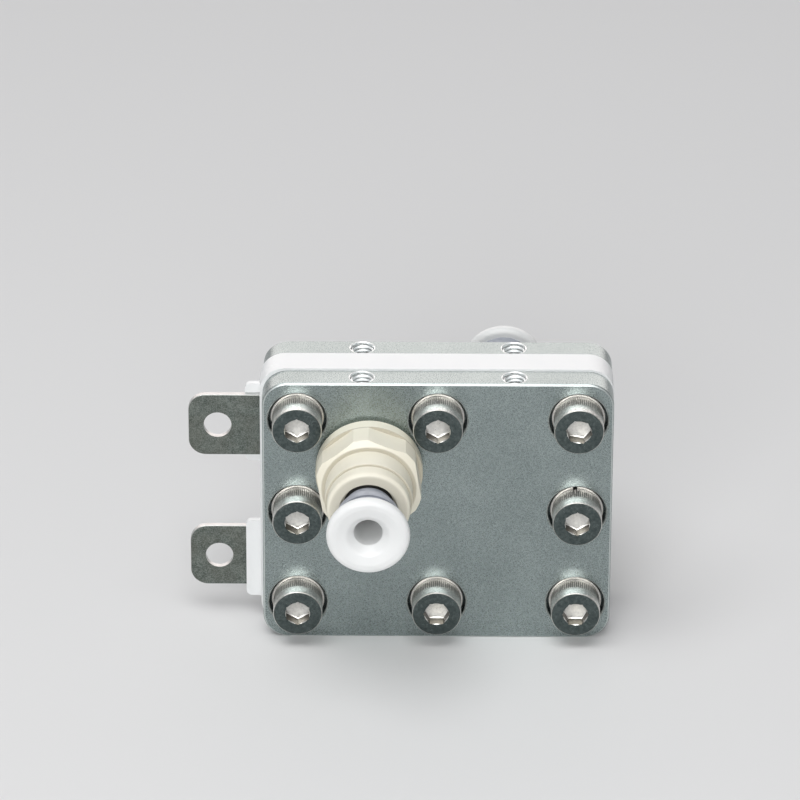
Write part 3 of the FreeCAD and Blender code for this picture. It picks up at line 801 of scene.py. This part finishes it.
NODE_FINISHES = {
    "front_end_plate": ALUMINIUM,
    "rear_end_plate": ALUMINIUM,
    "front_insulator_frame": WHITE_PLASTIC,
    "rear_insulator_frame": WHITE_PLASTIC,
    "membrane_frame": WHITE_PLASTIC,
    "front_electrode_plate": TITANIUM,
    "rear_electrode_plate": TITANIUM,
    "membrane": coated_membrane(),
    "membrane_gasket": SEAL,
    "front_porous_layer": porous_metal(),
    "rear_porous_layer": carbon_paper(),
    "cap_screws": STEEL,
    "spring_washers": STEEL,
}
for end in ("front", "rear"):
    NODE_FINISHES[f"{end}_fitting_body"] = IVORY
    NODE_FINISHES[f"{end}_fitting_cap"] = IVORY
    NODE_FINISHES[f"{end}_port_seal"] = SEAL
    NODE_FINISHES[f"{end}_tube_seal"] = SEAL
    NODE_FINISHES[f"{end}_release_sleeve"] = SLEEVE_GREY
    NODE_FINISHES[f"{end}_release_button"] = BUTTON_WHITE

for name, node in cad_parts.items():
    node.data.materials.clear()
    node.data.materials.append(NODE_FINISHES[name])


# Pieces

def clamping_screws():
    """Eight screws with a split washer under each head."""
    screw = cap_screw()
    finish_screw(screw)
    washer = spring_washer()
    washer.data.materials.append(spring_steel())
    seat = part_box("spring_washers")[0].y
    low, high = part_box("front_end_plate")
    middle = (low.z + high.z) / 2
    upright = Matrix.Rotation(math.radians(90), 4, "X")
    for number, (column, row, turn, gap_turn) in enumerate(SCREWS, start=1):
        aside, height = column * SCREW_COLUMN, middle + row * SCREW_ROW
        place = Matrix.Translation((aside, seat, height)) @ upright
        turned = place @ Matrix.Rotation(math.radians(turn), 4, "Z")
        piece = stand_copy(screw, f"cap_screw_{number}", turned)
        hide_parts("cap_screws")
        place = Matrix.Translation((aside, seat + WASHER_THICKNESS, height)) @ upright
        turned = place @ Matrix.Rotation(math.radians(gap_turn), 4, "Z")
        piece = stand_copy(washer, f"spring_washer_{number}", turned)
        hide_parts("spring_washers")
    bpy.data.objects.remove(screw)
    bpy.data.objects.remove(washer)


def top_hole_threads():
    """The thread that shows in each tapped hole of the plates' top edges."""
    thread = hole_thread()
    thread.data.materials.append(bare_aluminium())
    for plate in ("front", "rear"):
        low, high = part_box(f"{plate}_end_plate")
        for side, word in ((-1, "left"), (1, "right")):
            middle = (low.y + high.y) / 2
            place = Matrix.Translation((side * TOP_HOLE_SPAN / 2, middle, high.z))
            name = f"{plate}_{word}_hole_thread"
            stand_copy(thread, name, place)
    bpy.data.objects.remove(thread)


clamping_screws()
top_hole_threads()


# Floor, light and camera

def floor():
    """A large plain sheet under the cell."""
    bpy.ops.mesh.primitive_plane_add(size=8)
    sheet = bpy.context.object
    sheet.name = "floor"
    sheet.data.materials.append(pale_floor())


def softbox(name, place, width, height, power, colour=(1, 1, 1), shine_only=False):
    """A soft lamp that faces the cell, unseen itself. One for shine shows in gloss alone."""
    lamp = bpy.data.lights.new(name, "AREA")
    lamp.shape = "RECTANGLE"
    lamp.size = width
    lamp.size_y = height
    lamp.energy = power
    lamp.color = colour
    holder = bpy.data.objects.new(name, lamp)
    holder.location = place
    holder.rotation_mode = "QUATERNION"
    holder.rotation_quaternion = (Vector(place) - TARGET).to_track_quat("Z", "Y")
    holder.visible_camera = False
    holder.visible_diffuse = not shine_only
    bpy.context.scene.collection.objects.link(holder)


def surroundings(strength):
    """Even light from all round."""
    world = bpy.data.worlds.new("studio")
    world.use_nodes = True
    sky = world.node_tree.nodes["Background"]
    sky.inputs["Color"].default_value = (0.95, 0.97, 1.0, 1)
    sky.inputs["Strength"].default_value = strength
    bpy.context.scene.world = world


def camera():
    """The photograph's view: a long lens from above, aimed a little off the cell's middle."""
    rise, yaw = CAMERA_RISE, CAMERA_YAW
    level = math.cos(rise)
    back = Vector((math.sin(yaw) * level, -math.cos(yaw) * level, math.sin(rise)))
    right = Vector((math.cos(yaw), math.sin(yaw), 0))
    up = back.cross(right)
    lens = bpy.data.cameras.new("camera")
    lens.sensor_width = SENSOR_WIDTH
    lens.lens = FOCAL_PIXELS / PICTURE_WIDTH * SENSOR_WIDTH
    lens.clip_start, lens.clip_end = 0.05, 50
    holder = bpy.data.objects.new("camera", lens)
    holder.location = TARGET + back * CAMERA_DISTANCE
    aim = TARGET + right * AIM_RIGHT + up * AIM_UP
    holder.rotation_mode = "QUATERNION"
    upright = (holder.location - aim).to_track_quat("Z", "Y")
    holder.rotation_quaternion = upright @ Quaternion((0, 0, 1), CAMERA_ROLL)
    bpy.context.scene.collection.objects.link(holder)
    bpy.context.scene.camera = holder


floor()
surroundings(strength=0.3)
softbox("top_light", place=(-0.16, -0.26, 0.98), width=0.9, height=0.6, power=6.3)
softbox("key_light", place=(-0.14, -0.94, 0.45), width=0.6, height=0.35, power=4)
softbox(
    "front_shine", place=(-0.06, -0.9, 0.57), width=0.9, height=0.45, power=6.5, shine_only=True
)
softbox(
    "back_shine",
    place=(0, 1.5, 0.8),
    width=3,
    height=1.6,
    power=29,
    colour=(1, 0.9, 0.875),
    shine_only=True,
)
camera()
bpy.context.scene.view_settings.view_transform = "Standard"
